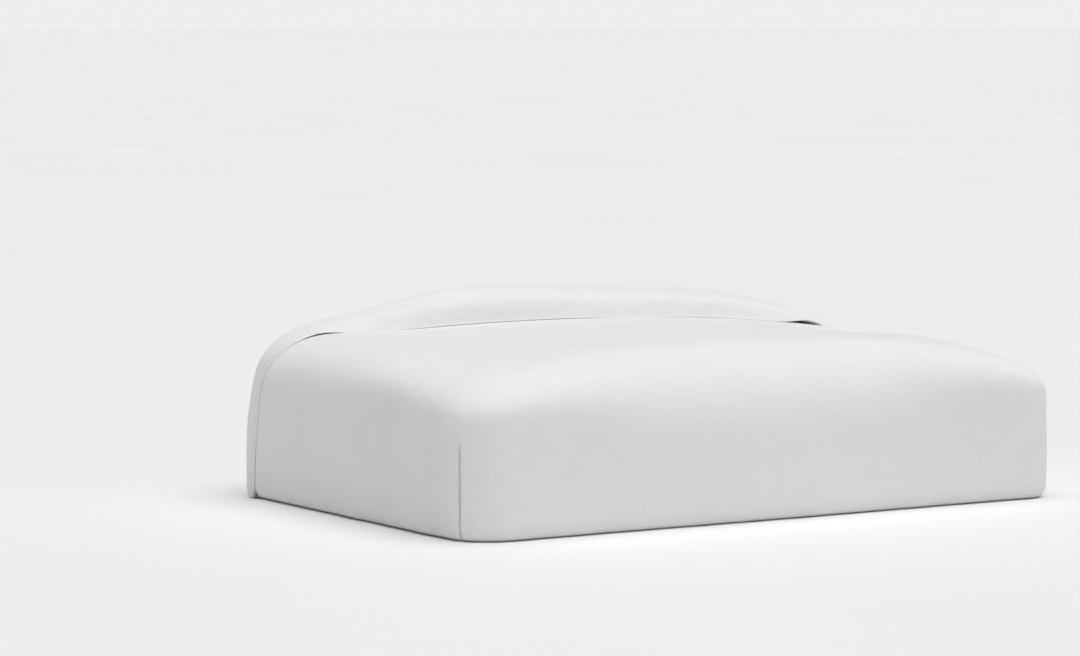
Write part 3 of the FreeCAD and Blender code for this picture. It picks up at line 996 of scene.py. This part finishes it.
def percale():
    cloth = Shader("cotton_percale", roughness=0.88, sheen=0.12)
    slub = cloth.slub(420)
    tone = cloth.average(cloth.noise(5, 4), slub, slub)
    cloth.spread(tone, (0.850, 0.842, 0.828), (0.886, 0.878, 0.864), "Base Color", half_width=0.10)
    cloth.spread(slub, 0.80, 0.94, "Roughness", half_width=0.1)
    cloth.bump(cloth.noise(7, 3, (1, 1.6, 1)), 0.30, 0.006)
    cloth.bump(cloth.noise(30, 4, (1, 0.6, 1)), 0.28, 0.0030)
    cloth.bump(slub, 0.5, 0.0008)
    cloth.bump(cloth.threads(THREAD_PITCH), 0.40, 0.00012)
    return cloth.material


def shell_cloth():
    cloth = Shader("downproof_cotton", roughness=0.7, sheen=0.2)
    cloth.spread(cloth.noise(8, 3), (0.86, 0.86, 0.85), (0.90, 0.90, 0.89), "Base Color")
    cloth.bump(cloth.noise(30, 4), 0.3, 0.002)
    cloth.bump(cloth.slub(500), 0.4, 0.0004)
    cloth.bump(cloth.threads(THREAD_PITCH * 0.7), 0.15, 0.0001)
    return cloth.material


def twill(name, pitch, low, high):
    cloth = Shader(name, roughness=0.8, sheen=0.15)
    cloth.spread(cloth.noise(40, 3), (low, low, low * 0.985), (high, high, high * 0.985), "Base Color")
    cloth.bump(cloth.ribs(pitch, (0.7, 0.1, 0.7)), 0.35, 0.00015)
    cloth.bump(cloth.threads(pitch * 0.6), 0.2, 0.0001)
    return cloth.material


def nylon():
    wire = Shader("coil_nylon", roughness=0.38)
    wire.spread(wire.noise(60, 2), (0.80, 0.80, 0.79), (0.86, 0.86, 0.85), "Base Color")
    wire.shader.inputs["Subsurface Weight"].default_value = 0.1
    wire.shader.inputs["Subsurface Scale"].default_value = 0.001
    wire.bump(wire.noise(900, 2), 0.1, 0.0001)
    return wire.material


def nickel():
    metal = Shader("satin_nickel", roughness=0.32, metallic=1.0)
    metal.spread(metal.noise(300, 3), (0.60, 0.59, 0.57), (0.70, 0.69, 0.67), "Base Color")
    metal.spread(metal.noise(500, 4, (1, 1, 8)), 0.26, 0.42, "Roughness")
    metal.bump(metal.noise(1500, 2, (1, 1, 10)), 0.08, 0.00005)
    return metal.material


def satin():
    cloth = Shader("label_satin", roughness=0.42, sheen=0.3)
    cloth.spread(cloth.noise(90, 2), (0.84, 0.84, 0.84), (0.90, 0.90, 0.90), "Base Color")
    cloth.bump(cloth.ribs(0.0004, (0, 1, 0)), 0.25, 0.00008)
    cloth.bump(cloth.noise(35, 3), 0.2, 0.001)
    return cloth.material


cotton, shell, nickel_plate = percale(), shell_cloth(), nickel()
binding_twill = twill("binding_twill", 0.0012, 0.82, 0.87)
tape_weave = twill("tape_weave", 0.0009, 0.80, 0.85)
coil_nylon, ribbon = nylon(), satin()
finishes = {
    "cover_cotton": cotton,
    "shell_cotton": shell,
    "binding_tape": binding_twill,
    "zip_tape": tape_weave,
    "zip_coil": coil_nylon,
    "label_satin": ribbon,
}
for piece, slot in made:
    piece.data.materials.append(finishes[slot])
for name in nodes_named("zip_end_stops", "zip_slider", "zip_pull_tab"):
    node = frame["nodes"][name]
    node.data.materials.clear()
    node.data.materials.append(nickel_plate)

# ---- stage ----


FLOOR_REACH = 500


def add_floor():
    reach = FLOOR_REACH
    corners = [(-reach, -reach, 0), (reach, -reach, 0), (reach, reach, 0), (-reach, reach, 0)]
    mesh = bpy.data.meshes.new("floor")
    mesh.from_pydata(corners, [], [[0, 1, 2, 3]])
    floor = bpy.data.objects.new("floor", mesh)
    bpy.context.scene.collection.objects.link(floor)
    paint = Shader("floor_paint", roughness=0.8)
    paint.spread(paint.noise(0.6, 2), (0.885, 0.885, 0.885), (0.905, 0.905, 0.905), "Base Color")
    mesh.materials.append(paint.material)


HORIZON = [(0.012, 0.86), (0.07, 0.140)]  # (height, glow): pale as the floor low down, dimmer above
SUN_ENERGY = 2.72
SUN_SPREAD = math.radians(70)
SUN_FROM = Vector((0.05, -0.18, 1))


def add_lights():
    world = bpy.data.worlds.new("world")
    world.use_nodes = True
    tree = world.node_tree
    direction = tree.nodes.new("ShaderNodeTexCoord").outputs["Generated"]
    height = tree.nodes.new("ShaderNodeSeparateXYZ")
    sky = tree.nodes.new("ShaderNodeValToRGB")
    for element, (place, glow) in zip(sky.color_ramp.elements, HORIZON):
        element.position = place
        element.color = (glow, glow, glow, 1)
    tree.links.new(direction, height.inputs["Vector"])
    tree.links.new(height.outputs["Z"], sky.inputs["Fac"])
    tree.links.new(sky.outputs["Color"], tree.nodes["Background"].inputs["Color"])
    bpy.context.scene.world = world
    data = bpy.data.lights.new("sky_panel", "SUN")
    data.energy = SUN_ENERGY
    data.angle = SUN_SPREAD
    sun = bpy.data.objects.new("sky_panel", data)
    sun.rotation_euler = SUN_FROM.to_track_quat("Z", "Y").to_euler()
    bpy.context.scene.collection.objects.link(sun)


add_floor()
add_lights()
bpy.context.scene.view_settings.view_transform = "Standard"
